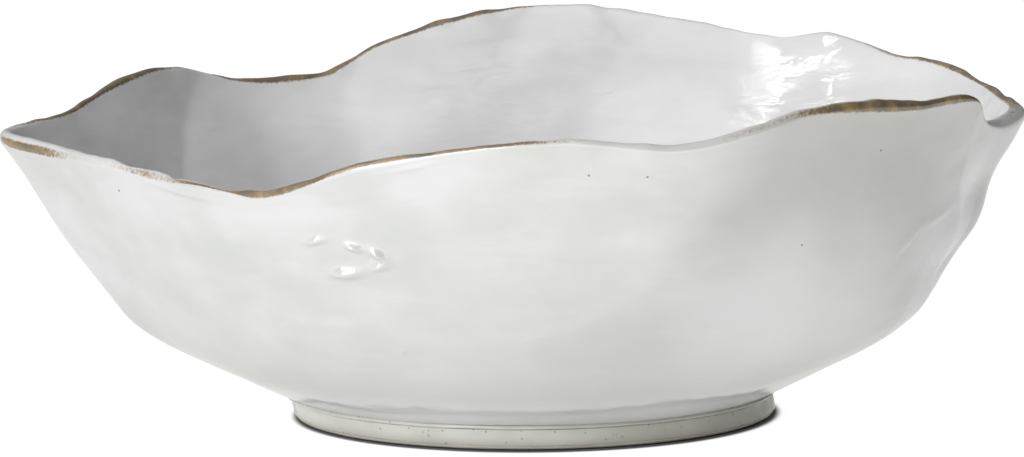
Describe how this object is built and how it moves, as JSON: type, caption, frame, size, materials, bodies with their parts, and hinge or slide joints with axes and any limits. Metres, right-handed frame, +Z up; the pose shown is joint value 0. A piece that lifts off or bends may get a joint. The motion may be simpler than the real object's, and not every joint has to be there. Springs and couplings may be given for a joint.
{
  "type": "porcelain serving bowl",
  "caption": "Wide hand-formed serving bowl in white glazed ceramic, with a wavy brown-edged rim and a low round foot ring.",
  "frame": {"origin": "centre of the foot ring's standing face, on the surface the bowl stands on", "axes": "+Z up out of the bowl, +X to the right-hand spout along the long way of the rim, +Y towards the tall back of the rim"},
  "size_m": [0.3318, 0.3, 0.1169],
  "materials": {
    "clay": "matte",
    "foot_clay": "matte",
    "slip_bead": "satin",
    "outer_glaze": "gloss",
    "inner_glaze": "gloss",
    "iron_lip": "gloss",
    "foot_glaze": "satin",
    "under_glaze": "satin"
  },
  "bodies": {
    "root": {"clay_body": "clay", "foot_ring": "foot_clay", "joint_bead": "slip_bead", "outside_glaze": "outer_glaze", "inside_glaze": "inner_glaze", "rim_band": "iron_lip", "foot_glaze": "foot_glaze", "underside_glaze": "under_glaze"}
  },
  "joints": []
}
